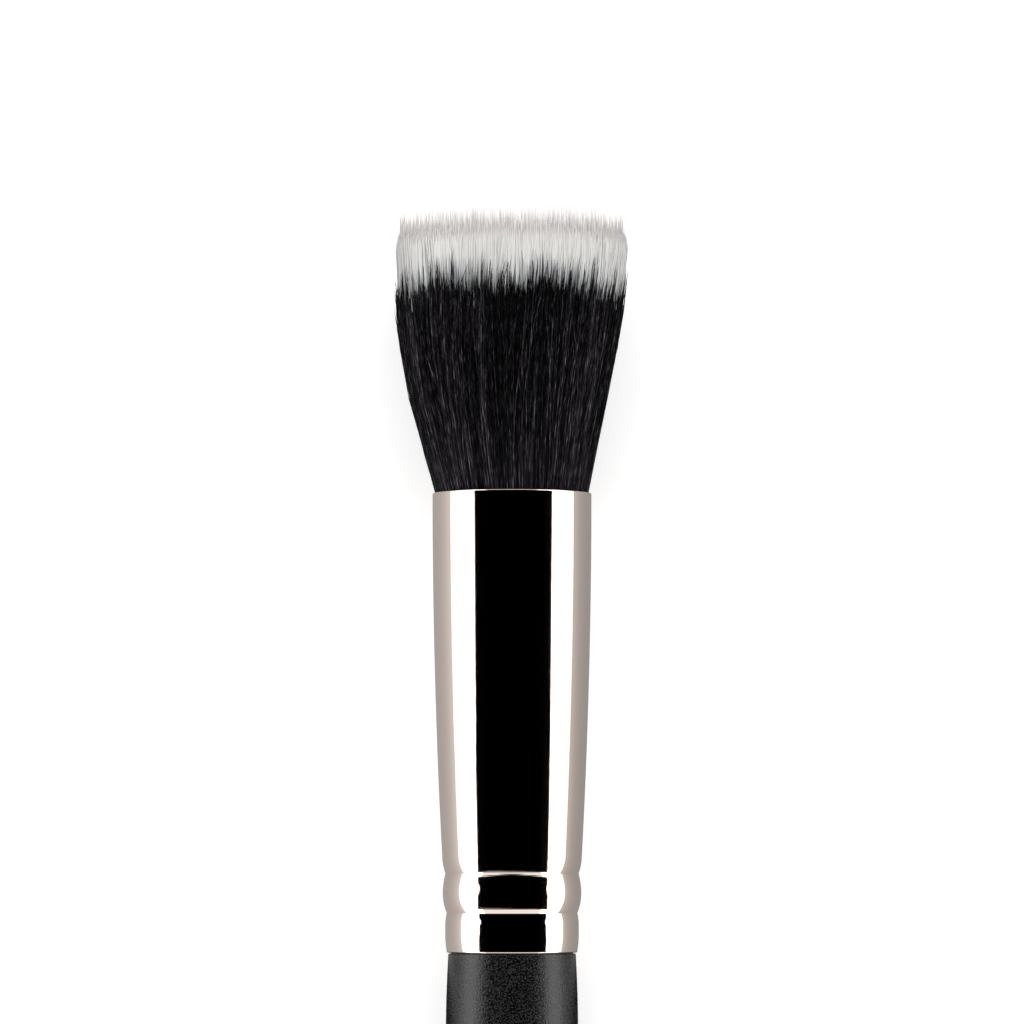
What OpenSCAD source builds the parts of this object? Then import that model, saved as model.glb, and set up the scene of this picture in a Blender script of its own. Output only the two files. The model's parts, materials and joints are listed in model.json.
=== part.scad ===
// Foundation brush with a flat-topped tuft of dark hair and long pale tips, lying on its side.
// The brush is drawn upright, with the middle of the ferrule's mouth at the origin. Heights
// above the mouth are written s, and distances below it are written q. It is then laid down
// along Y on the floor plane Z = 0, where it rests on the tuft and on the handle.

/* [Tuft] */
// Length of the hair out of the ferrule, to the tips
hair_len = 29.2; // [27:0.2:33]
// Width across the tuft at its widest
tuft_d = 25; // [22:0.5:28]
// Height above the mouth at which the hair stops spreading
flare_len = 26; // [22:0.5:26]
// Length of the pale tips above the dark hair
pale_len = 5.9; // [4.5:0.1:9]
// How far the border between dark and pale wanders up and down
border_play = 1.3; // [0:0.1:1.8]
// How far the clumps of tips stand up and down on the flat top
tip_play = 0.2; // [0:0.05:0.5]
// Width of the clumps that the tips gather in
clump_w = 2.4; // [1.8:0.1:3]
// Height of the slight crown of the flat top
crown = 0.7; // [0.2:0.1:1.5]
// Height of the rounding at the rim of the flat top
rim_h = 1.9; // [1:0.1:2.5]
// Width of the rounding at the rim of the flat top
rim_w = 1.6; // [0.8:0.1:3]
// Number of locks that the hair falls into
locks = 38; // [24:1:40]
// Depth of the valleys between the locks, at the tips
lock_depth = 0.45; // [0.1:0.05:0.7]
// How unevenly the locks are spaced, in degrees
lock_sway = 50; // [0:5:60]
// Length of the glued roots inside the ferrule
root_len = 16; // [12:1:18]

/* [Ferrule] */
// Length of the ferrule
ferrule_len = 49; // [46:1:60]
// Outside diameter at the mouth
mouth_d = 17; // [15.6:0.1:19]
// Outside diameter where the taper ends above the crimps
waist_d = 14.9; // [14.4:0.1:15.4]
// Thickness of the drawn metal
wall = 0.4; // [0.3:0.05:0.5]
// Rounding of the edges of the metal
metal_round = 0.12; // [0.08:0.02:0.14]
// Length of the shoulder that rolls into the upper crimp
shoulder_len = 1.7; // [1:0.1:2.5]
// Distance between the two crimps
bead_len = 4.2; // [3:0.1:5]
// Diameter over the bead between the crimps
bead_d = 14.78; // [14.4:0.02:15]
// Distance from the lower crimp to the end of the ferrule
collar_len = 4.2; // [4:0.1:6]
// Diameter of the collar below the lower crimp
collar_d = 14.24; // [14.1:0.02:14.4]
// Diameter at the bottom of the upper crimp
upper_crimp_d = 14.22; // [14:0.02:14.3]
// Diameter at the bottom of the lower crimp
lower_crimp_d = 13.94; // [13.8:0.02:14.04]
// Length over which the collar rises from the lower crimp
collar_rise = 1.3; // [0.6:0.1:2]
// Length over which the collar closes in on the handle
lip_len = 2; // [1:0.1:2.5]
// How far the collar closes in on the handle
lip_drop = 0.18; // [0.05:0.01:0.25]

/* [Handle] */
// Diameter of the straight part of the handle
handle_d = 14.1; // [13.9:0.1:16]
// Length of the neck that swells from the ferrule to the full diameter
neck_len = 9; // [6:1:20]
// How much the neck swells, on the radius
neck_rise = 0.25; // [0.1:0.05:0.4]
// Length of the straight part
grip_len = 24; // [12:1:40]
// Length of the taper to the tail
taper_len = 75.5; // [50:0.5:90]
// Diameter where the taper meets the rounded tail
tail_d = 8; // [6:0.1:10]
// Bevel at the end of the tenon
tenon_bevel = 0.8; // [0.3:0.1:1.5]
// Rounding of the shoulder that meets the ferrule
shoulder_round = 0.1; // [0.05:0.05:0.2]

/* [Glue and fits] */
// Length of the glue plug that holds the roots
plug_len = 8; // [5:1:9]
// Depth of the hollow in the lower face of the glue
plug_dish = 1.2; // [0.4:0.1:2]
// Gap between the glue and the tenon that the handle ends in
tenon_gap = 7; // [2:0.5:9]
// Clearance between the ferrule's bore and what fills it
bore_fit = 0.05; // [0.02:0.01:0.1]
// Gap between the end of the ferrule and the shoulder of the handle
seam = 0.1; // [0.05:0.05:0.3]

/* [Resting] */
// How far the soft tuft is pressed flat where it lies
press = 0.5; // [0.3:0.05:0.8]

/* [Hidden] */
$fn = 96;

// Stations down the ferrule and the handle, measured from the mouth
crimp_q2 = ferrule_len - collar_len;
crimp_q1 = crimp_q2 - bead_len;
bead_q = (crimp_q1 + crimp_q2)/2;
waist_q = crimp_q1 - shoulder_len;
lip_q = ferrule_len - lip_len;
tenon_q = root_len + plug_len + tenon_gap;
shoulder_q = ferrule_len + seam;
grip_q = shoulder_q + neck_len;
taper_q = grip_q + grip_len;
tail_q = taper_q + taper_len;

// Radii of the ferrule
mouth_r = mouth_d/2;
waist_r = waist_d/2;
bead_r = bead_d/2;
collar_r = collar_d/2;
upper_crimp_r = upper_crimp_d/2;
lower_crimp_r = lower_crimp_d/2;

// Sampling steps along the curved outlines
long_step = 2.5;
fine_step = 0.15;
arc_step = 7.5;

// The arc of the taper, and the ball that closes the tail without an edge
handle_r = handle_d/2;
taper_drop = (handle_d - tail_d)/2;
taper_curve = arc_radius(taper_len, taper_drop);
tail_slope = asin(taper_len/taper_curve);
tail_ball = tail_d/2/cos(tail_slope);
tail_centre_q = tail_q - tail_ball*sin(tail_slope);
tail_end_q = tail_centre_q + tail_ball;

// The tuft: its points round, and the heights of its border and of the rim of its flat top
around = 114;
root_r = mouth_r - wall - bore_fit;
border_s = hair_len - pale_len;
rim_s = hair_len - crown - rim_h;

// The floor as a line that touches the tuft at one end and the arc of the taper at the other:
// its slope against the axis, and the height of the mouth's middle above it
rest_s = 0.9*flare_len;
span = taper_q + rest_s;
rise = flare_r(rest_s) - handle_r + taper_curve;
lie_tilt = atan2(rise, span) - asin((taper_curve + press)/norm([span, rise]));
axis_h = taper_q*sin(lie_tilt) + (handle_r - taper_curve)*cos(lie_tilt) + taper_curve;
tip_y = hair_len*cos(lie_tilt);
tail_y = -tail_centre_q*cos(lie_tilt) - tail_ball;

// Radius of the arc that falls by drop over run, starting level
function arc_radius(run, drop) = (run*run + drop*drop)/(2*drop);

// How far that arc has fallen at the distance d from its level start
function fall(d, run, drop) = let (r = arc_radius(run, drop)) r - sqrt(r*r - d*d);

// How far an edge of radius r has rounded away at the distance d from its end
function edge_fall(d, r) = d < r ? fall(r - d, r, r) : 0;

// The points from one end of a stretch to the other, about step apart
function stretch(from, to, step) =
    let (n = ceil(abs(to - from)/step)) [for (i = [0:n]) from + (to - from)*i/n];

// Radius of the ferrule's outside at the station q, before its edges are rounded
function taper_r(q) = mouth_r - fall(q, waist_q, mouth_r - waist_r);
function shoulder_r(q) =
    taper_r(q) - fall(q - waist_q, shoulder_len, taper_r(crimp_q1) - upper_crimp_r);
function bead_side_r(q) =
    bead_r - fall(abs(q - bead_q), bead_len/2, bead_r - (q < bead_q ? upper_crimp_r : lower_crimp_r));
function collar_side_r(q) =
    collar_r
    - (q < crimp_q2 + collar_rise
        ? fall(crimp_q2 + collar_rise - q, collar_rise, collar_r - lower_crimp_r) : 0)
    - (q > lip_q ? fall(q - lip_q, lip_len, lip_drop) : 0);
function sleeve_r(q) =
    q < waist_q ? taper_r(q)
    : q < crimp_q1 ? shoulder_r(q)
    : q < crimp_q2 ? bead_side_r(q)
    : collar_side_r(q);

// Radius of what fills the ferrule's bore at the station q, and of the straight tenon, which
// passes through the collar and is pressed in by the crimps
function fill_r(q) = sleeve_r(q) - wall - bore_fit;
function tenon_r(q) = min(collar_r - wall - bore_fit, fill_r(q));

// Stations of the ferrule's outline between two others: one at each crimp, and close together
// on both sides of it
function sleeve_stations(from, to) =
    let (marks = concat([from], [for (q = [waist_q, crimp_q1, crimp_q2]) if (q > from && q < to) q], [to]))
    concat(
        [from],
        [for (i = [1:len(marks) - 1])
            let (part = stretch(marks[i - 1], marks[i], marks[i] > waist_q ? fine_step : long_step))
            for (j = [1:len(part) - 1]) part[j]]);

// Radius of the handle below the ferrule at the station q
function neck_r(q) =
    handle_r - fall(grip_q - q, neck_len, neck_rise) - edge_fall(q - shoulder_q, shoulder_round);
function tail_r(q) = handle_r - fall(q - taper_q, taper_len, taper_drop);

// An uneven wave round the tuft, between -1 and 1
function wave(a, shift) = (sin(5*a + shift) + sin(13*a + 3*shift) + sin(23*a + 7*shift))/3;

// Where the direction a lies across a lock: 0 on its crest, 1 in the valley beside it
function valley(a) = 1 - abs(sin(locks*a/2 + lock_sway*wave(a, 20)));

// Radius of the tuft at the height s, smooth and with its locks
function flare_r(s) = root_r + (tuft_d/2 - root_r)*sin(90*min(s/flare_len, 1));
function side_r(s, a) = flare_r(s) - lock_depth*valley(a)*min(s/flare_len, 1);

// A point at the radius r, the direction a and the height s, lifted to the floor if below it
function placed(r, a, s) = pressed([r*cos(a), r*sin(a), s]);
function pressed(p) =
    let (h = axis_h + p.z*sin(lie_tilt) - p.y*cos(lie_tilt))
    h < 0 ? p + h*[0, cos(lie_tilt), -sin(lie_tilt)] : p;

// How far a tip stands up or down at the place x, y of the flat top
function clump(x, y) =
    sin(180*x/clump_w + 60*sin(90*y/clump_w))*sin(160*y/clump_w + 60*sin(80*x/clump_w));
function tip_lift(a, f) =
    let (r = f*tuft_d/2) tip_play*(clump(r*cos(a), r*sin(a)) - 1.5*valley(a)*pow(f, 12));

// Points of the tuft in the direction a: on its root, its side, its rim, its flat top, and on
// the border between the dark hair and the pale tips. f is 1 at the rim and 0 in the middle.
function root_point(a, q) = placed(fill_r(q), a, -q);
function side_point(a, s) = placed(side_r(s, a), a, s);
function rim_point(a, turn) =
    placed(side_r(rim_s, a) - rim_w*(1 - cos(turn)), a,
           rim_s + rim_h*sin(turn) + tip_lift(a, 1)*sin(turn));
function top_point(a, f) =
    let (lock = (side_r(rim_s, a) - flare_r(rim_s))*pow(f, 8))
    placed(f*(flare_r(rim_s) - rim_w + lock), a, hair_len - crown*f*f + tip_lift(a, f));
function border_height(a) =
    border_s + border_play*(0.8*wave(a, 75) - 0.5*valley(a) + 0.2*sin(locks*a + 40));
function border_point(a, f) =
    let (s = border_s + (border_height(a) - border_s)*f*f)
    placed(f*side_r(border_height(a), a), a, s);

// One ring of points round the tuft, and the directions that it takes
function directions() = [for (i = [0:around - 1]) 360*i/around];
function side_ring(part) = [for (a = directions()) side_point(a, part*border_height(a))];
function pale_ring(part) =
    [for (a = directions()) side_point(a, rim_s + part*(border_height(a) - rim_s))];
function border_rings() =
    [for (f = [1, 0.86, 0.66, 0.44, 0.22]) [for (a = directions()) border_point(a, f)]];

// A closed skin through rings of points, from a middle point before them to one after them
module skin(first, rings, last, upwards) {
    n = len(rings[0]);
    end = n*len(rings) + 1;
    function at(j, i) = 1 + n*j + i % n;
    faces = concat(
        [for (i = [0:n - 1]) [0, at(0, i), at(0, i + 1)]],
        [for (j = [0:len(rings) - 2], i = [0:n - 1])
            each [[at(j, i), at(j + 1, i), at(j + 1, i + 1)],
                  [at(j, i), at(j + 1, i + 1), at(j, i + 1)]]],
        [for (i = [0:n - 1]) [end, at(len(rings) - 1, i + 1), at(len(rings) - 1, i)]]);
    polyhedron(
        [first, for (ring = rings) each ring, last],
        upwards ? faces : [for (face = faces) [face[2], face[1], face[0]]]);
}

// The upright brush laid down on the floor plane, with its middle over the origin
module lie_down() {
    translate([0, -(tip_y + tail_y)/2, axis_h])
        rotate([lie_tilt - 90, 0, 0])
            children();
}

// Drawn metal tube with rounded edges, two crimps and a closed-in collar
module ferrule() {
    stations = concat(
        stretch(0, metal_round, metal_round/3),
        sleeve_stations(4*metal_round, lip_q),
        stretch(lip_q + fine_step, ferrule_len - metal_round, fine_step),
        stretch(ferrule_len - metal_round*2/3, ferrule_len, metal_round/3));
    function edge(q) = edge_fall(q, metal_round) + edge_fall(ferrule_len - q, metal_round);
    outside = [for (q = stations) [sleeve_r(q) - edge(q), -q]];
    inside = [for (q = stations) [sleeve_r(q) - wall + edge(q), -q]];
    color("#d8c3af")
        lie_down()
            rotate_extrude()
                polygon(concat(outside, [for (i = [len(inside) - 1:-1:0]) inside[i]]));
}

// Turned handle: a tenon that the crimps grip, a swelling neck, a straight grip and a long
// taper that ends in a ball
module handle() {
    tenon = [for (q = sleeve_stations(tenon_q + tenon_bevel, ferrule_len)) [tenon_r(q), -q]];
    neck = concat(
        [for (q = stretch(shoulder_q, shoulder_q + shoulder_round, shoulder_round/4)) [neck_r(q), -q]],
        [for (q = stretch(shoulder_q + 2*shoulder_round, grip_q, long_step/2)) [neck_r(q), -q]]);
    taper = [for (q = stretch(taper_q, tail_q, long_step)) [tail_r(q), -q]];
    ball = [for (turn = stretch(tail_slope + arc_step, 90, arc_step))
        [tail_ball*cos(turn), -tail_centre_q - tail_ball*sin(turn)]];
    color("#1d1d1f")
        lie_down()
            rotate_extrude()
                polygon(concat(
                    [[0, -tenon_q], [tenon_r(tenon_q) - tenon_bevel, -tenon_q]],
                    tenon,
                    [[tenon_r(ferrule_len), -shoulder_q]],
                    neck, taper, ball));
}

// Hardened glue round the ends of the roots, with the hollow face that a liquid sets with
module glue_plug() {
    low_q = root_len + plug_len;
    low_r = fill_r(low_q);
    color("#c8a75a")
        lie_down()
            rotate_extrude()
                polygon(concat(
                    [[0, -root_len]],
                    [for (q = sleeve_stations(root_len, low_q)) [fill_r(q), -q]],
                    [for (r = stretch(low_r*11/12, 0, low_r/12))
                        [r, plug_dish - fall(r, low_r, plug_dish) - low_q]]));
}

// Dense dark hair: its glued root, the spreading side in locks, and the border below the tips
module dark_hair() {
    roots = [for (q = [root_len, root_len/2, 0]) [for (a = directions()) root_point(a, q)]];
    side = [for (part = [0.06, 0.16, 0.3, 0.45, 0.6, 0.75, 0.89]) side_ring(part)];
    color("#17161a")
        lie_down()
            skin([0, 0, -root_len], concat(roots, side, border_rings()), [0, 0, border_s], true);
}

// Long pale tips above the dark hair, cut to a flat top with a rounded rim
module pale_tips() {
    top = [for (f = [0.1:0.1:0.9]) [for (a = directions()) top_point(a, f)]];
    rim = [for (turn = [90, 55, 25]) [for (a = directions()) rim_point(a, turn)]];
    side = [for (part = [0, 0.5]) pale_ring(part)];
    color("#e6e3e0")
        lie_down()
            skin([0, 0, hair_len], concat(top, rim, side, border_rings()), [0, 0, border_s], false);
}

ferrule();
handle();
glue_plug();
dark_hair();
pale_tips();
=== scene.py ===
import json
import math

import bmesh
import bpy
import numpy as np
from mathutils import Matrix, Vector


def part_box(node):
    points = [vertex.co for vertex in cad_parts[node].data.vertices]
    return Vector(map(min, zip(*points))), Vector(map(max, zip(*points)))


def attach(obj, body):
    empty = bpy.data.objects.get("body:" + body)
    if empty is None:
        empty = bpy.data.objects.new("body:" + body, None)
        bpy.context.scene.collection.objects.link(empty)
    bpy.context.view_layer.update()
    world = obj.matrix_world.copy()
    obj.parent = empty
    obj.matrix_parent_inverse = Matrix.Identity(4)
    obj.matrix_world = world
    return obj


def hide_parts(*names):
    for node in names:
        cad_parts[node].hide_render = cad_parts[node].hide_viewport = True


bl_info = {
    "name": "Foundation Brush",
    "version": (1, 0, 0),
    "blender": (4, 5, 0),
    "location": "View3D > Sidebar > Foundation Brush",
    "description": "Dresses a foundation brush with hair, polished metal and matt lacquer",
    "category": "Add Mesh",
}

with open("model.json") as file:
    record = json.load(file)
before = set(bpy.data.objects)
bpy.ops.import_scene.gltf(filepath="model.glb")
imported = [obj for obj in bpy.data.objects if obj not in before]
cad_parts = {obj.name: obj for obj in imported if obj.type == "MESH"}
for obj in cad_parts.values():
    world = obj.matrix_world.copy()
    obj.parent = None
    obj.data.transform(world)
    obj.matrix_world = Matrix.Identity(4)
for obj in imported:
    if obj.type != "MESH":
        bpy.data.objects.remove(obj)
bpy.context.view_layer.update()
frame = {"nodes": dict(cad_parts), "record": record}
MM = 0.001

# The brush's own directions, from the straight stretch of its handle: along it towards the tips,
# square to it towards the floor, and out to the right
GRIP = next(mount for mount in frame["record"]["mounts"] if mount["name"] == "grip")
AXIS = -Vector(GRIP["axis"]).normalized()
DOWN = Vector((0, AXIS.z, -AXIS.y))
RIGHT = Vector((1, 0, 0))

# The middle of the ferrule's mouth, from the ferrule's box: its last point towards +Y is the
# lowest point of the mouth's rounded edge
METAL_EDGE = 0.12 * MM
FERRULE_LOW, FERRULE_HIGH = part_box("ferrule")
MOUTH_R = (FERRULE_HIGH.x - FERRULE_LOW.x) / 2
MOUTH_Y = FERRULE_HIGH.y - (MOUTH_R - METAL_EDGE) * AXIS.z
GRIP_POINT = Vector(GRIP["pos_m"])
MOUTH = GRIP_POINT + AXIS * ((MOUTH_Y - GRIP_POINT.y) / AXIS.y)
UPRIGHT = Matrix((
    (RIGHT.x, DOWN.x, AXIS.x, MOUTH.x),
    (RIGHT.y, DOWN.y, AXIS.y, MOUTH.y),
    (RIGHT.z, DOWN.z, AXIS.z, MOUTH.z),
    (0, 0, 0, 1),
))

# The tuft's widest radius, a hair's width inside its plain shape
PALE_LOW, PALE_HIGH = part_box("pale_tips")
TUFT_R = (PALE_HIGH.x - PALE_LOW.x) / 2 - 0.1 * MM


class BrushTuftSettings(bpy.types.PropertyGroup):
    hair_length: bpy.props.FloatProperty(
        name="Hair length", description="From the ferrule's mouth to the tips",
        default=29.2 * MM, unit="LENGTH")
    flare_length: bpy.props.FloatProperty(
        name="Flare length", description="Height at which the hair stops spreading",
        default=26 * MM, unit="LENGTH")
    pale_length: bpy.props.FloatProperty(
        name="Pale length", description="Length of the pale tips above the dark hair",
        default=6.5 * MM, unit="LENGTH")
    root_radius: bpy.props.FloatProperty(
        name="Root radius", description="Radius of the hair where it leaves the ferrule",
        default=MOUTH_R - 0.46 * MM, unit="LENGTH")
    bow: bpy.props.FloatProperty(
        name="Bow", description="How far the middle of the tuft bows to the left",
        default=0.38 * MM, unit="LENGTH")
    dark_thickness: bpy.props.FloatProperty(
        name="Dark hair thickness", description="Diameter of one dark hair",
        default=0.098 * MM, unit="LENGTH")
    pale_thickness: bpy.props.FloatProperty(
        name="Pale fibre thickness", description="Diameter of one pale fibre",
        default=0.12 * MM, unit="LENGTH")
    dark_colour: bpy.props.FloatVectorProperty(
        name="Dark hair", description="Colour of most dark hairs",
        default=(0.0032, 0.0026, 0.0034), size=3, subtype="COLOR")
    # Painted highlight: the grey of the glints painted into the dark hairs' colour
    painted_glint_colour: bpy.props.FloatVectorProperty(
        name="Grey streak", description="Colour of the lighter streaks on the dark hairs",
        default=(0.19, 0.172, 0.198), size=3, subtype="COLOR")
    pale_colour: bpy.props.FloatVectorProperty(
        name="Pale fibre", description="Colour of most pale fibres",
        default=(0.79, 0.785, 0.767), size=3, subtype="COLOR")
    # Painted shade: the grey that a pale fibre's root takes where it runs in among the dark hairs
    painted_root_shade_colour: bpy.props.FloatVectorProperty(
        name="Root of a pale fibre", description="Colour of a pale fibre among the dark hairs",
        default=(0.30, 0.33, 0.36), size=3, subtype="COLOR")
    # Painted light: the bright, pinkish colour of the pale fibres' ends stands for light shining
    # through their clear tips
    painted_tip_light_colour: bpy.props.FloatVectorProperty(
        name="Tip of a pale fibre", description="Colour of the clear ends of the pale fibres",
        default=(0.99, 0.918, 0.893), size=3, subtype="COLOR")


class BrushBodySettings(bpy.types.PropertyGroup):
    metal_colour: bpy.props.FloatVectorProperty(
        name="Metal", description="Colour of the polished ferrule",
        default=(0.90, 0.77, 0.69), size=3, subtype="COLOR")
    lacquer_colour: bpy.props.FloatVectorProperty(
        name="Lacquer", description="Colour of the matt handle",
        default=(0.009, 0.009, 0.0095), size=3, subtype="COLOR")
    glue_colour: bpy.props.FloatVectorProperty(
        name="Glue", description="Colour of the glue round the roots",
        default=(0.55, 0.36, 0.10), size=3, subtype="COLOR")


class BrushStageSettings(bpy.types.PropertyGroup):
    camera_distance: bpy.props.FloatProperty(
        name="Camera distance", description="From the brush to the camera",
        default=0.68, unit="LENGTH")
    view_width: bpy.props.FloatProperty(
        name="View width", description="Width of the picture at the brush",
        default=109.5 * MM, unit="LENGTH")
    floor_colour: bpy.props.FloatVectorProperty(
        name="Floor", description="Colour of the floor",
        default=(0.80, 0.80, 0.80), size=3, subtype="COLOR")


class Wire:
    """A socket of a node tree that can be written in sums, such as 1 - mask * 0.5."""

    def __init__(self, nodes, socket):
        self.nodes = nodes
        self.socket = socket

    def maths(self, operation, left, right, clamp=False):
        return self.nodes.add(
            "ShaderNodeMath", {"operation": operation, "use_clamp": clamp}, {0: left, 1: right})

    def __add__(self, other):
        return self.maths("ADD", self, other)

    def __radd__(self, other):
        return self.maths("ADD", other, self)

    def __sub__(self, other):
        return self.maths("SUBTRACT", self, other)

    def __rsub__(self, other):
        return self.maths("SUBTRACT", other, self)

    def __mul__(self, other):
        return self.maths("MULTIPLY", self, other)

    def __rmul__(self, other):
        return self.maths("MULTIPLY", other, self)

    def between(self, low, high):
        """0 at low, 1 at high, and a straight run between them."""
        return self.maths("MULTIPLY", self - low, 1 / (high - low), clamp=True)


class Nodes:
    """A node tree, with one way to add any node."""

    def __init__(self, tree):
        self.tree = tree

    def feed(self, socket, value):
        if isinstance(value, Wire):
            self.tree.links.new(value.socket, socket)
        elif socket.type == "RGBA":
            socket.default_value = (*value, 1)
        else:
            socket.default_value = value

    def add(self, kind, settings=None, inputs=None, output=0):
        node = self.tree.nodes.new(kind)
        for key, value in (settings or {}).items():
            if key == "stops":
                self.set_stops(node.color_ramp, value)
            else:
                setattr(node, key, value)
        for key, value in (inputs or {}).items():
            self.feed(node.inputs[key], value)
        return Wire(self, node.outputs[output])

    def set_stops(self, ramp, stops):
        while len(ramp.elements) < len(stops):
            ramp.elements.new(1)
        for element, (place, colour) in zip(ramp.elements, stops):
            element.position = place
            element.color = (*colour, 1)

    def blend(self, factor, first, second):
        return self.add(
            "ShaderNodeMix", {"data_type": "RGBA"}, {0: factor, 6: first, 7: second}, output=2)

    def noise(self, where, stretch, detail=2, rough=0.5):
        where = self.add("ShaderNodeMapping", {}, {"Vector": where, "Scale": stretch})
        return self.add(
            "ShaderNodeTexNoise", {},
            {"Vector": where, "Scale": 1, "Detail": detail, "Roughness": rough})

    def x_and_y(self, vector):
        parts = self.add("ShaderNodeSeparateXYZ", {}, {"Vector": vector}).socket.node
        return Wire(self, parts.outputs["X"]), Wire(self, parts.outputs["Y"])

    def seen(self):
        """1 for what the camera sees, directly, in a reflection or through a clear thing."""
        rays = [self.add("ShaderNodeLightPath", output=f"Is {ray} Ray")
                for ray in ("Camera", "Glossy", "Transmission")]
        return (rays[0] + rays[1] + rays[2]).between(0, 1)


class Finish(Nodes):
    """A material, with the constants of its shader given by name."""

    def __init__(self, name, **constants):
        self.material = bpy.data.materials.new(name)
        self.material.use_nodes = True
        super().__init__(self.material.node_tree)
        self.shader = self.tree.nodes["Principled BSDF"]
        for socket, value in constants.items():
            self.set(socket.replace("_", " "), value)

    def set(self, socket, value):
        self.feed(self.shader.inputs[socket], value)

    def specks(self, size, detail=2, stretch=(1, 1, 1), rough=0.5):
        """Noise in the space round the piece, with specks of about this size."""
        where = self.add("ShaderNodeTexCoord", output="Object")
        return self.noise(where, [share / size for share in stretch], detail, rough)

    def bump(self, height, distance, strength):
        self.set("Normal", self.add(
            "ShaderNodeBump", {},
            {"Height": height, "Distance": distance, "Strength": strength}, output="Normal"))

    def glow(self, colour, strength, alone=False):
        """Adds light of its own to what the surface gives back, or shows that light alone."""
        light = self.add("ShaderNodeEmission", {}, {"Color": colour, "Strength": strength})
        surface = Wire(self, self.shader.outputs["BSDF"])
        both = light if alone else self.add("ShaderNodeAddShader", {}, {0: surface, 1: light})
        self.feed(self.tree.nodes["Material Output"].inputs["Surface"], both)


def wear(piece, finish):
    piece.data.materials.clear()
    piece.data.materials.append(finish.material)


def polished_metal(settings):
    finish = Finish("polished_metal", Metallic=1, Base_Color=settings.metal_colour)
    haze = finish.specks(6 * MM, detail=4)
    hairlines = finish.specks(0.6 * MM, detail=3, stretch=(0.15, 4, 0.15))
    finish.set("Roughness", 0.03 + haze * 0.03 + hairlines * 0.015)
    finish.bump(hairlines, 0.002 * MM, 0.25)
    return finish


def matt_lacquer(settings):
    finish = Finish("matt_black_lacquer", Specular_IOR_Level=0.5)
    grain = finish.specks(0.17 * MM, detail=1)
    cloud = finish.specks(7 * MM, detail=2)
    lacquer = Vector(settings.lacquer_colour)
    finish.set("Base Color", finish.blend(grain.between(0.46, 0.64), lacquer * 0.1, lacquer * 3.6))
    finish.set("Roughness", 0.14 + grain * 0.2 + cloud * 0.04)
    finish.bump(grain, 0.05 * MM, 0.8)
    return finish


def clear_glue(settings):
    finish = Finish("clear_glue", Base_Color=settings.glue_colour)
    finish.set("Roughness", 0.15 + finish.specks(2 * MM) * 0.2)
    return finish


# The hairs' map: each hair lies in one of TONES upright strips, the lighter the further right,
# with its root at the bottom
HAIR_MAP = "OFBake"
TONES = 64


def hair_places(finish):
    """A place in the hairs' map, the tone of its hair, and how far along that hair it is."""
    where = finish.add("ShaderNodeUVMap", {"uv_map": HAIR_MAP})
    return where, *finish.x_and_y(where)


def dark_hair_finish(settings):
    """Nearly black hair with painted glints: lighter grey streaks that come and go along each hair,
    where a lamp would glint on it.
    """
    finish = Finish("dark_hair", Roughness=0.45, Specular_IOR_Level=0.03)
    where, tone, along = hair_places(finish)
    dark, grey = Vector(settings.dark_colour), Vector(settings.painted_glint_colour)
    body = finish.add(
        "ShaderNodeValToRGB",
        {"stops": [(0, dark * 0.4), (0.5, dark), (1, dark * 0.85 + grey * 0.15)]},
        {"Fac": tone})
    # Painted glints: grey patches along each hair, mostly on the lightest hairs and weaker towards
    # the tips. The lightest hairs' own colour also takes a little of that grey.
    patches = finish.noise(where, (TONES * 1.5, 18, 1), detail=2, rough=0.55)
    streak = patches.between(0.5, 0.66) * (0.04 + tone * tone * 0.96)
    fading_to_tip = 1 - along.between(0.5, 0.9) * 0.4
    finish.set("Base Color", finish.blend(streak * fading_to_tip, body, grey))
    return finish


def pale_hair_finish(name, settings, clear):
    """White fibre with painted shade where it runs in among the dark hairs, and painted light at
    its more or less clear tip, for light shining through it.
    """
    finish = Finish(name, Roughness=0.5, Specular_IOR_Level=0.2)
    where, tone, along = hair_places(finish)
    pale = Vector(settings.pale_colour)
    body = finish.add(
        "ShaderNodeValToRGB",
        {"stops": [(0, pale * 0.8), (0.5, pale * 0.97), (1, pale * 1.03)]},
        {"Fac": tone})
    # Painted shade: each pale fibre turns grey from its root up to about two fifths of its length,
    # where it lies among the dark hairs
    root = 1 - along.between(0, 0.42)
    body = finish.blend(root * 0.85, body, settings.painted_root_shade_colour)
    # Painted light: the last part of each fibre takes the tip colour, for light shining through its
    # clear end
    tip = along.between(0.74, 0.86)
    finish.set("Base Color", finish.blend(tip * clear, body, settings.painted_tip_light_colour))
    return finish


def core_finish(name, colour):
    """What shows between the hairs: a dull ground, mottled as a mass of hairs is."""
    finish = Finish(name, Roughness=0.85, Specular_IOR_Level=0.1)
    colour = Vector(colour)
    mottle = finish.specks(0.5 * MM, detail=3, stretch=(1, 0.1, 1))
    finish.set("Base Color", finish.blend(mottle.between(0.3, 0.7), colour * 0.75, colour))
    return finish


def select_only(piece):
    bpy.ops.object.select_all(action="DESELECT")
    piece.select_set(True)
    bpy.context.view_layer.objects.active = piece


def spun(name, outline, steps=96):
    """Spins an outline of (radius, height) points round the brush's axis into a closed skin."""
    mesh = bpy.data.meshes.new(name)
    mesh.from_pydata(
        [(r, 0, s) for r, s in outline], [(i, i + 1) for i in range(len(outline) - 1)], [])
    piece = bpy.data.objects.new(name, mesh)
    bpy.context.collection.objects.link(piece)
    select_only(piece)
    bpy.ops.object.mode_set(mode="EDIT")
    bpy.ops.mesh.select_all(action="SELECT")
    bpy.ops.mesh.spin(steps=steps, angle=2 * math.pi, center=(0, 0, 0), axis=(0, 0, 1))
    bpy.ops.mesh.select_all(action="SELECT")
    bpy.ops.mesh.remove_doubles(threshold=0.001 * MM)
    bpy.ops.mesh.normals_make_consistent(inside=False)
    bpy.ops.object.mode_set(mode="OBJECT")
    bpy.ops.object.shade_smooth()
    mesh.transform(UPRIGHT)
    return piece


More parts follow.
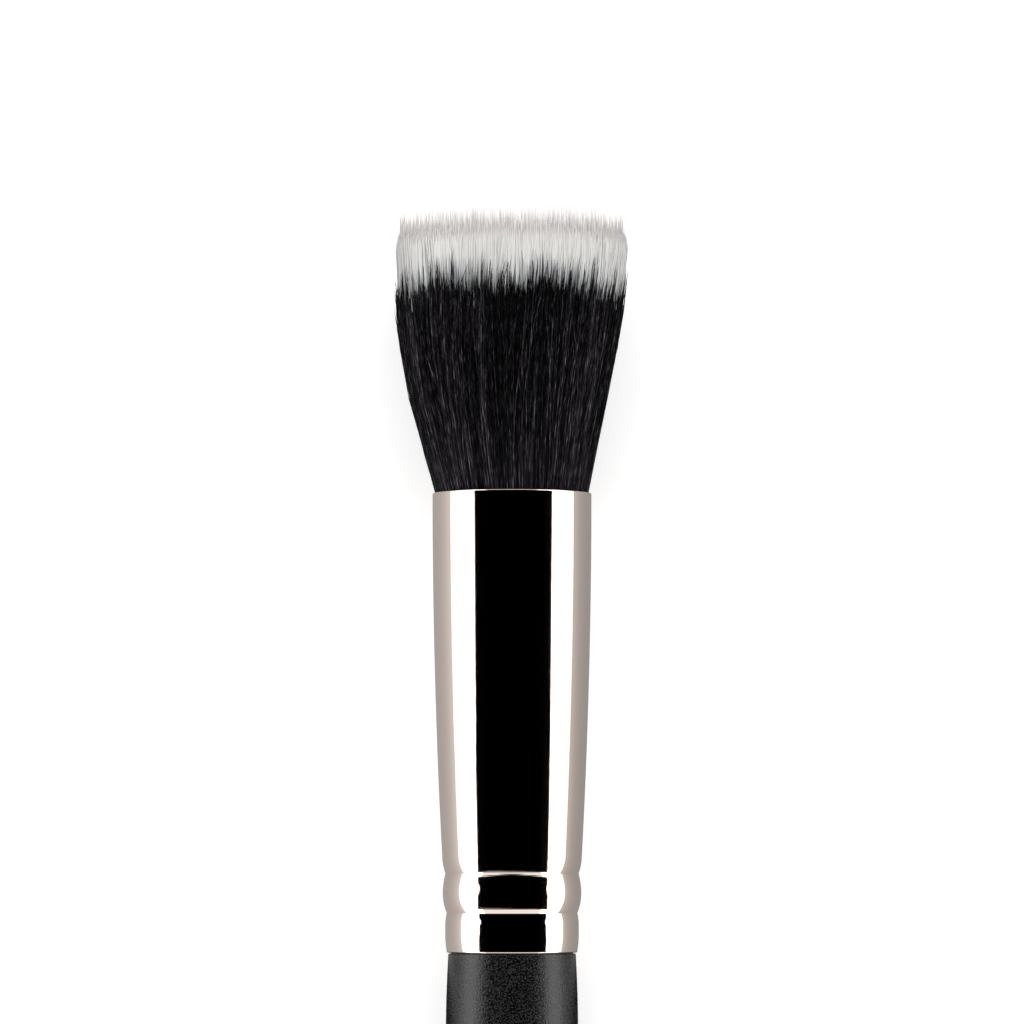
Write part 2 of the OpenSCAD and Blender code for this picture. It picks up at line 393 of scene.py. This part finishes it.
def hair_mould(rings):
    """One hair: a three-sided rod one unit tall, its top ring drawn to a point.

    Returns its points, its faces and, for each corner of a face, how far round and how far along
    the hair it is.
    """
    bpy.ops.object.select_all(action="DESELECT")
    bpy.ops.mesh.primitive_cylinder_add(vertices=3, radius=1, depth=1, location=(0, 0, 0.5))
    rod = bpy.context.object
    bpy.ops.object.transform_apply(location=True)
    bpy.ops.object.mode_set(mode="EDIT")
    for ring in range(1, rings):
        bpy.ops.mesh.select_all(action="SELECT")
        bpy.ops.mesh.bisect(plane_co=(0, 0, ring / rings), plane_no=(0, 0, 1))
    cage = bmesh.from_edit_mesh(rod.data)
    for point in cage.verts:
        point.select = point.co.z > 1 - 0.5 / rings
    cage.select_flush(True)
    bpy.ops.mesh.merge(type="CENTER")
    bpy.ops.object.mode_set(mode="OBJECT")
    points = np.array([point.co for point in rod.data.vertices])
    faces = [list(face.vertices) for face in rod.data.polygons]
    corners = []
    for face in rod.data.polygons:
        middle = math.atan2(face.center.y, face.center.x)
        flat = abs(face.normal.z) > 0.9
        for i in face.vertices:
            x, y, z = rod.data.vertices[i].co
            side = 0
            if math.hypot(x, y) > 0.01:
                side = math.remainder(math.atan2(y, x) - middle, 2 * math.pi)
            turn = 0.5 + (middle + side) / (2 * math.pi)
            corners.append((turn, 0.02 * (y > 0) if flat else z))
    bpy.data.objects.remove(rod)
    return points, faces, np.array(corners)


def bundle(name, rings, paths, thickness, tone, outwards, smooth):
    """Copies of one hair, each bent along its own path, as one mesh with its tones in a map.

    Each rod turns one of its three sides outwards.
    """
    points, faces, corners = hair_mould(rings)
    ring_of = np.round(points[:, 2] * rings).astype(int)
    count = len(paths)
    half = thickness[:, None] / 2
    spin = (outwards - np.pi / 6)[:, None]
    cos, sin = np.cos(spin), np.sin(spin)
    across = (points[:, 0] * cos - points[:, 1] * sin) * half
    deep = (points[:, 0] * sin + points[:, 1] * cos) * half
    placed = paths[:, ring_of] + across[..., None] * RIGHT + deep[..., None] * DOWN
    placed[..., 2] = np.maximum(placed[..., 2], 0)

    lengths = np.array([len(face) for face in faces])
    corner_of = np.concatenate(faces)
    copies = np.arange(count)[:, None]
    starts = np.concatenate([[0], np.cumsum(lengths)[:-1]])
    mesh = bpy.data.meshes.new(name)
    mesh.vertices.add(count * len(points))
    mesh.vertices.foreach_set("co", placed.astype(np.float32).ravel())
    mesh.loops.add(count * len(corner_of))
    mesh.loops.foreach_set(
        "vertex_index", (copies * len(points) + corner_of).astype(np.int32).ravel())
    mesh.polygons.add(count * len(faces))
    mesh.polygons.foreach_set(
        "loop_start", (copies * len(corner_of) + starts).astype(np.int32).ravel())
    mesh.update(calc_edges=True)
    shelf = np.floor(np.clip(tone, 0, 0.999) * TONES)
    place = np.empty((count, len(corners), 2), np.float32)
    place[..., 0] = (shelf[:, None] + np.clip(corners[:, 0], 0, 1)) / TONES
    place[..., 1] = corners[:, 1]
    mesh.uv_layers.new(name=HAIR_MAP).data.foreach_set("uv", place.ravel())
    piece = bpy.data.objects.new(name, mesh)
    bpy.context.collection.objects.link(piece)
    select_only(piece)
    if smooth:
        bpy.ops.object.shade_smooth()
    else:
        bpy.ops.object.shade_flat()
    return piece


def ring_places(rings):
    """Places of a hair's rings, from 0 at its root to 1 at its tip, closer towards the tip."""
    return 1 - (1 - np.linspace(0, 1, rings + 1)[None, :]) ** 1.5


def flare(settings, s):
    """Radius of the tuft at the height s above the mouth."""
    share = np.clip(s / settings.flare_length, 0, 1)
    return settings.root_radius + (TUFT_R - settings.root_radius) * np.sin(np.pi / 2 * share)


def on_brush(settings, r, a, s):
    """The place at the radius r, the direction a and the height s, with the tuft's bow."""
    bow = settings.bow * np.sin(np.pi * np.clip(s / (0.85 * settings.hair_length), 0, 1))
    return (
        np.array(MOUTH)
        + s[..., None] * AXIS
        + (r * np.cos(a) - bow)[..., None] * RIGHT
        + (r * np.sin(a))[..., None] * DOWN)


def ride_and_stand_for(piece, node):
    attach(piece, "root")
    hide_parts(node)


def border_height(settings, a):
    """Height of the border between dark and pale: higher over the middle, lower at the sides."""
    waves = 0.3 * np.sin(5 * a + 0.7) + 0.2 * np.sin(11 * a + 2.1) + 0.2 * np.sin(23 * a)
    return settings.hair_length - settings.pale_length + (waves - 0.8 * np.cos(2 * a)) * MM


class BRUSH_OT_ferrule(bpy.types.Operator):
    """Gives the ferrule its polished metal"""
    bl_idname = "brush.ferrule"
    bl_label = "Ferrule"

    def execute(self, context):
        wear(frame["nodes"]["ferrule"], polished_metal(context.scene.brush_body))
        return {"FINISHED"}


class BRUSH_OT_handle(bpy.types.Operator):
    """Gives the handle its matt lacquer"""
    bl_idname = "brush.handle"
    bl_label = "Handle"

    def execute(self, context):
        wear(frame["nodes"]["handle"], matt_lacquer(context.scene.brush_body))
        return {"FINISHED"}


class BRUSH_OT_glue(bpy.types.Operator):
    """Gives the glue plug its clear amber"""
    bl_idname = "brush.glue"
    bl_label = "Glue plug"

    def execute(self, context):
        wear(frame["nodes"]["glue_plug"], clear_glue(context.scene.brush_body))
        return {"FINISHED"}


class BRUSH_OT_dark_hair(bpy.types.Operator):
    """Makes the dense dark hair: a core that nothing shows through, and the hairs round it"""
    bl_idname = "brush.dark_hair"
    bl_label = "Dark hair"

    def execute(self, context):
        tuft = context.scene.brush_tuft
        finish = dark_hair_finish(tuft)
        self.core(tuft)
        draw = np.random.default_rng(11)
        for part in ("a", "b"):
            piece = self.hairs(tuft, f"dark_hair_{part}", draw)
            wear(piece, finish)
            ride_and_stand_for(piece, "dark_hair")
        return {"FINISHED"}

    def core(self, tuft, root=-3 * MM, below_border=2.4 * MM, inset=0.7 * MM):
        """A solid a little inside the hairs, from within the ferrule to below the border."""
        top = tuft.hair_length - tuft.pale_length - below_border
        heights = np.linspace(0, top, 12)
        outline = (
            [(0, root), (tuft.root_radius - 0.2 * MM, root)]
            + list(zip(flare(tuft, heights) - inset, heights))
            + [(0, top)])
        core = spun("dark_hair_core", outline)
        wear(core, core_finish("dark_hair_core", Vector(tuft.dark_colour) * 0.5))
        ride_and_stand_for(core, "dark_hair")

    def hairs(self, tuft, name, draw, count=5500, rings=6, locks=400):
        """Hairs from the mouth to the border, gathered in locks, a few of them crossing.

        Fewer and fewer of their tips reach up from 3 mm below the border into the pale fibres.
        Most stay under those, and a few long ones lie on them.
        """
        a = draw.uniform(0, 2 * np.pi, count)
        lock_a = draw.uniform(0, 2 * np.pi, locks)
        off = np.angle(np.exp(1j * (lock_a[None, :] - a[:, None])))
        lock = np.abs(off).argmin(1)
        lean = off[np.arange(count), lock]
        lock_lift = draw.normal(0, 0.35, locks) * MM
        lock_rise = draw.normal(0, 0.16, locks) * MM
        lock_tone = draw.normal(0, 0.12, locks)
        reach = np.minimum(draw.exponential(1.03, count), 5)
        tip = border_height(tuft, a) + lock_lift[lock] + (reach - 3) * MM
        long = (reach > 2.6) & (draw.random(count) < 0.35)
        along = ring_places(rings)
        root = -0.5 * MM
        s = root + along * (tip - root)[:, None]
        # How far a hair runs sideways on its way up, in radians round the brush
        drift = draw.normal(0, 0.05, count)
        crossing = draw.random(count) < 0.06
        drift[crossing] = draw.normal(0, 0.22, crossing.sum())
        turn = (
            a[:, None]
            + 0.3 * along ** 2 * lean[:, None]
            + along ** 1.5 * drift[:, None]
            + draw.normal(0, 0.009, (count, rings + 1)) * along)
        # How deep it lies, as a share of the radius, and how far it then stands out or in
        depth = np.abs(draw.normal(0, 0.04, count))
        depth[crossing | long] = 0
        lift = lock_rise[lock][:, None] * along + draw.normal(0, 0.06, (count, rings + 1)) * MM
        inset = (0.02 + 0.2 * along * (1 - long[:, None])) * MM
        r = (1 - depth[:, None]) * flare(tuft, s) + (lift - inset) * np.clip(along * 3, 0, 1)
        # Painted sheen: hairs out at the left and right get a lighter tone and more painted glint,
        # as if lit by the side lamps
        painted_side_sheen = 0.25 * (np.abs(np.cos(a)) - 0.5)
        tone = np.clip(draw.beta(1.0, 1.6, count) + lock_tone[lock] + painted_side_sheen, 0, 1)
        thickness = tuft.dark_thickness * (0.7 + 0.5 * tone)
        outwards = a + draw.normal(0, 0.5, count)
        return bundle(
            name, rings, on_brush(tuft, r, turn, s), thickness, tone, outwards, smooth=True)


class BRUSH_OT_pale_tips(bpy.types.Operator):
    """Makes the long pale fibres: a pale core, the fibres of the rim and those of the flat top"""
    bl_idname = "brush.pale_tips"
    bl_label = "Pale tips"

    def execute(self, context):
        tuft = context.scene.brush_tuft
        self.core(tuft)
        draw = np.random.default_rng(23)
        # How strongly the fibres' tips take the painted light that stands for light shining through
        # their clear ends: those of the rim take less and look whiter
        for part, maker, clear in (("rim", self.rim, 0.35), ("top", self.top, 0.95)):
            piece = maker(tuft, f"pale_fibres_{part}", draw)
            wear(piece, pale_hair_finish(f"pale_hair_{part}", tuft, clear))
            ride_and_stand_for(piece, "pale_tips")
        return {"FINISHED"}

    def core(self, tuft, inset=0.75 * MM):
        """A solid inside the fibres, from below the border to below the tips."""
        low = tuft.hair_length - tuft.pale_length - 1.2 * MM
        high = tuft.hair_length - 2.6 * MM
        side = TUFT_R - inset
        outline = [
            (0, low), (side - 0.4 * MM, low), (side, low + 1.5 * MM), (side, high - 1.2 * MM),
            (side - 0.3 * MM, high - 0.4 * MM), (side - 1.2 * MM, high), (0, high + 0.4 * MM)]
        core = spun("pale_hair_core", outline)
        wear(core, core_finish("pale_hair_core", tuft.pale_colour))
        ride_and_stand_for(core, "pale_tips")

    def tips(self, tuft, share, a, draw, long_share):
        """Heights of the tips: level in the middle, rounded at the rim, with some longer ones.

        The share is how far out a fibre stands: 0 in the middle of the tuft, 1 at its side.
        """
        crown = (0.65 - 0.35 * np.cos(2 * a)) * share ** 2
        edge = np.clip((share - 0.87) / 0.13, 0, 1)
        rim = (0.5 + 0.8 * np.cos(a) ** 2) * (1 - np.sqrt(1 - edge ** 2))
        even = tuft.hair_length + (draw.normal(-0.6, 0.12, len(share)) - crown - rim) * MM
        long = draw.random(len(share)) < long_share
        return even + long * np.minimum(draw.exponential(0.75, len(share)), 2.4) * MM

    def tones(self, a, share, draw):
        """Lighter and darker fibres at random, with painted shade making them a little darker out
        at the sides, where the fibres turn away from the light.
        """
        # Painted shade: a darker tone for fibres far out at the left and right
        sides = np.clip((np.abs(np.cos(a)) * share - 0.68) / 0.32, 0, 1)
        return np.clip(0.5 + 0.4 * draw.beta(2, 2, len(a)) - 0.1 * sides, 0, 1)

    def rim(self, tuft, name, draw, count=12000, rings=3, layers=16):
        """Fibres that stand side by side in layers, so that the side of the tuft looks smooth."""
        layer = np.arange(count) % layers
        place = np.arange(count) // layers + draw.uniform(0, 1, layers)[layer]
        a = (place + draw.uniform(-0.2, 0.2, count)) * 2 * np.pi * layers / count
        share = 1 - layer * 0.0037 - np.abs(draw.normal(0, 0.0005, count))
        # A few strays stand a little outside the layers
        stray = draw.random(count) < 0.015
        share[stray] = 1 + np.abs(draw.normal(0, 0.01, stray.sum()))
        tip = self.tips(tuft, share, a, draw, 0.06)
        root = border_height(tuft, a) - np.minimum(1 + draw.exponential(1, count), 5) * MM
        along = ring_places(rings)
        s = root[:, None] + along * (tip - root)[:, None]
        # The roots sink in among the dark hairs, apart from a few loose ones
        loose = draw.random(count) < 0.03
        sink = np.where(loose, 0.1, 0.55)[:, None] * MM * (1 - along) ** 1.4
        turn = a[:, None] + draw.normal(0, 0.007 + 0.03 * stray, count)[:, None] * (along - 0.5)
        r = share[:, None] * flare(tuft, s) - sink - 0.1 * MM
        r = r + draw.normal(0, 0.005, (count, rings + 1)) * MM
        thickness = tuft.pale_thickness * draw.uniform(1.15, 1.4, count)
        outwards = a + draw.normal(0, 0.08, count)
        return bundle(
            name, rings, on_brush(tuft, r, turn, s), thickness, self.tones(a, share, draw),
            outwards, smooth=False)

    def top(self, tuft, name, draw, count=18000, rings=2):
        """Fibres all over the flat top, finer than those of the rim, with more longer ones."""
        a = draw.uniform(0, 2 * np.pi, count)
        share = np.sqrt(draw.uniform(0, 0.95, count))
        tip = self.tips(tuft, share, a, draw, 0.3)
        root = tuft.hair_length - draw.uniform(4.0, 5.0, count) * MM
        along = np.linspace(0, 1, rings + 1)[None, :]
        s = root[:, None] + along * (tip - root)[:, None]
        turn = a[:, None] + draw.normal(0, 0.02, count)[:, None] * along
        r = share[:, None] * flare(tuft, s) + draw.normal(0, 0.12, count)[:, None] * MM * along
        thickness = tuft.pale_thickness * draw.uniform(0.6, 1.0, count)
        outwards = a + draw.normal(0, 0.15, count)
        return bundle(
            name, rings, on_brush(tuft, r, turn, s), thickness, self.tones(a, share, draw),
            outwards, smooth=False)


class BRUSH_OT_stage(bpy.types.Operator):
    """Makes the floor, the soft lights, the cards that the metal mirrors and the camera"""
    bl_idname = "brush.stage"
    bl_label = "Stage"

    def execute(self, context):
        stage = context.scene.brush_stage
        self.floor(stage)
        self.world(context.scene)
        self.dark_card()
        self.floor_cards()
        for side in (-1, 1):
            self.softbox(side)
        self.camera(context.scene, stage)
        context.scene.view_settings.view_transform = "Standard"
        return {"FINISHED"}

    def floor(self, stage):
        """A pale matt floor that looks white where no shadow falls on it."""
        bpy.ops.object.select_all(action="DESELECT")
        bpy.ops.mesh.primitive_plane_add(size=8, location=(0, 0, 0))
        floor = bpy.context.object
        floor.name = "floor"
        finish = Finish("floor", Base_Color=stage.floor_colour, Roughness=0.9, Specular_IOR_Level=0)
        finish.glow((1, 1, 1), finish.seen() * 0.47)
        wear(floor, finish)

    def world(self, scene):
        world = bpy.data.worlds.new("studio")
        world.use_nodes = True
        scene.world = world
        nodes = Nodes(world.node_tree)
        background = world.node_tree.nodes["Background"]
        nodes.feed(background.inputs["Color"], (1, 1, 1))
        nodes.feed(background.inputs["Strength"], 1)

    def mirrored_card(self, name, mesh):
        """A card of the stage that shows only in reflections."""
        card = bpy.data.objects.new(name, mesh)
        bpy.context.collection.objects.link(card)
        card.visible_camera = False
        card.visible_diffuse = False
        card.visible_shadow = False
        card.visible_transmission = False
        return card

    def dark_card(self):
        """A dark card that curves over the brush, cut to a waist and with arched ends.

        Each cut has its height along the brush in metres, and how far the card reaches round to
        the left and to the right there in degrees. The arches lengthen its two ends.
        """
        reach, steps, arches = 0.42, 28, {-0.295: -0.042, 0.125: 0.07}
        cuts = ((-0.295, 66, 68.5), (-0.2, 61.8, 64.6), (-0.14, 60, 62), (-0.09, 59, 61.8),
                (-0.055, 58, 60.9), (-0.03, 55.8, 59.9), (-0.005, 54.8, 59.4),
                (0.02, 55.4, 59.9), (0.05, 59.4, 62.4), (0.125, 62.5, 65))
        points = []
        for s, left, right in cuts:
            for turn in np.radians(np.linspace(-left, right, steps + 1)):
                rise = arches.get(s, 0) * math.cos(1.5 * turn)
                points.append((reach * math.sin(turn), -reach * math.cos(turn), s + rise))
        n = steps + 1
        mesh = bpy.data.meshes.new("dark_card")
        mesh.from_pydata(points, [], [
            (n * j + i, n * j + i + 1, n * j + n + i + 1, n * j + n + i)
            for j in range(len(cuts) - 1) for i in range(steps)])
        mesh.transform(UPRIGHT)
        card = self.mirrored_card("dark_card", mesh)
        wear(card, Finish("dark_card", Base_Color=(0, 0, 0), Roughness=1, Specular_IOR_Level=0))

    def floor_cards(self):
        """Grey cards on the floor beside the brush, painted with the floor's shade by the brush as
        the metal mirrors it, and white ones beyond them.
        """
        near, edge, far, length, height = 1 * MM, 88 * MM, 0.5, 0.9, 0.1 * MM
        for side, level in ((-1, 1.0), (1, 0.8)):
            for name, start, end in (("floor_shade_card", near, edge), ("white_card", edge, far)):
                mesh = bpy.data.meshes.new(name)
                corners = [(start, -length), (end, -length), (end, length), (start, length)]
                mesh.from_pydata([(side * x, y, height) for x, y in corners], [], [(0, 1, 2, 3)])
                card = self.mirrored_card(f"{name}_{'left' if side < 0 else 'right'}", mesh)
                finish = Finish(card.name)
                if name == "floor_shade_card":
                    x, y = finish.x_and_y(finish.add("ShaderNodeTexCoord", output="Object"))
                    # Painted shade of the floor round the brush, seen only in reflections: lighter
                    # further out, the right card a fifth darker than the left, and nearly black
                    # beside the handle, from a slanting line by the ferrule's lower end
                    distance = (x * side).between(8 * MM, 60 * MM)
                    beside = 1 - (x * side).between(18 * MM, 35 * MM)
                    start_y = FERRULE_LOW.y + 4.6 * MM - (x * side) * 0.45
                    below = 1 - (y - start_y).between(-1.2 * MM, 0)
                    grey = (0.38 + distance * 0.3) * level * (1 - beside * below * 0.94)
                    finish.glow((1, 1, 1), grey, alone=True)
                else:
                    finish.glow((1, 1, 1), 1.45, alone=True)
                wear(card, finish)

    def softbox(self, side):
        """A long lamp out on one side, for gloss alone. The world lights what is matt."""
        reach, turn, glare = 0.45, math.radians(78), 1.6
        light = bpy.data.lights.new("softbox", "AREA")
        light.shape = "RECTANGLE"
        light.size = 0.36
        light.size_y = 1.8
        light.energy = math.pi * light.size * light.size_y * glare
        lamp = bpy.data.objects.new("softbox", light)
        bpy.context.collection.objects.link(lamp)
        lamp.visible_diffuse = False
        out = RIGHT * side * math.sin(turn) - DOWN * math.cos(turn)
        self.aim(lamp, MOUTH - AXIS * 20 * MM + out * reach, AXIS.cross(out), AXIS, out)

    def camera(self, scene, stage):
        """Square to the brush below the mouth, and turned a little towards the tips."""
        eye_below, target_below = 38.2, 2.0
        eye = MOUTH - AXIS * eye_below * MM - DOWN * stage.camera_distance
        target = MOUTH - AXIS * target_below * MM
        data = bpy.data.cameras.new("camera")
        data.sensor_width = 36
        data.lens = data.sensor_width * (eye - target).length / stage.view_width
        data.clip_start = 0.01
        camera = bpy.data.objects.new("camera", data)
        bpy.context.collection.objects.link(camera)
        back = (eye - target).normalized()
        right = AXIS.cross(back).normalized()
        self.aim(camera, eye, right, back.cross(right), back)
        scene.camera = camera

    def aim(self, thing, place, x, y, z):
        """Stands a lamp or camera at a place, with its own three directions."""
        thing.matrix_world = Matrix.Translation(place) @ Matrix((x, y, z)).transposed().to_4x4()


MAKERS = (BRUSH_OT_stage, BRUSH_OT_ferrule, BRUSH_OT_handle, BRUSH_OT_glue,
          BRUSH_OT_dark_hair, BRUSH_OT_pale_tips)


class BRUSH_PT_panel(bpy.types.Panel):
    """Lists the makers of the brush and the sizes and colours that they use"""
    bl_idname = "BRUSH_PT_panel"
    bl_label = "Foundation Brush"
    bl_space_type = "VIEW_3D"
    bl_region_type = "UI"
    bl_category = "Foundation Brush"

    def draw(self, context):
        for group in GROUPS:
            box = self.layout.box()
            settings = getattr(context.scene, group)
            for name in settings.__annotations__:
                box.prop(settings, name)
        for maker in MAKERS:
            self.layout.operator(maker.bl_idname)


GROUPS = {
    "brush_tuft": BrushTuftSettings,
    "brush_body": BrushBodySettings,
    "brush_stage": BrushStageSettings,
}


def register():
    for item in (*GROUPS.values(), *MAKERS, BRUSH_PT_panel):
        bpy.utils.register_class(item)
    for name, group in GROUPS.items():
        setattr(bpy.types.Scene, name, bpy.props.PointerProperty(type=group))


def unregister():
    for name in GROUPS:
        delattr(bpy.types.Scene, name)
    for item in reversed((*GROUPS.values(), *MAKERS, BRUSH_PT_panel)):
        bpy.utils.unregister_class(item)


def main():
    register()
    bpy.ops.brush.stage()
    bpy.ops.brush.ferrule()
    bpy.ops.brush.handle()
    bpy.ops.brush.glue()
    bpy.ops.brush.dark_hair()
    bpy.ops.brush.pale_tips()


if __name__ == "__main__":
    main()
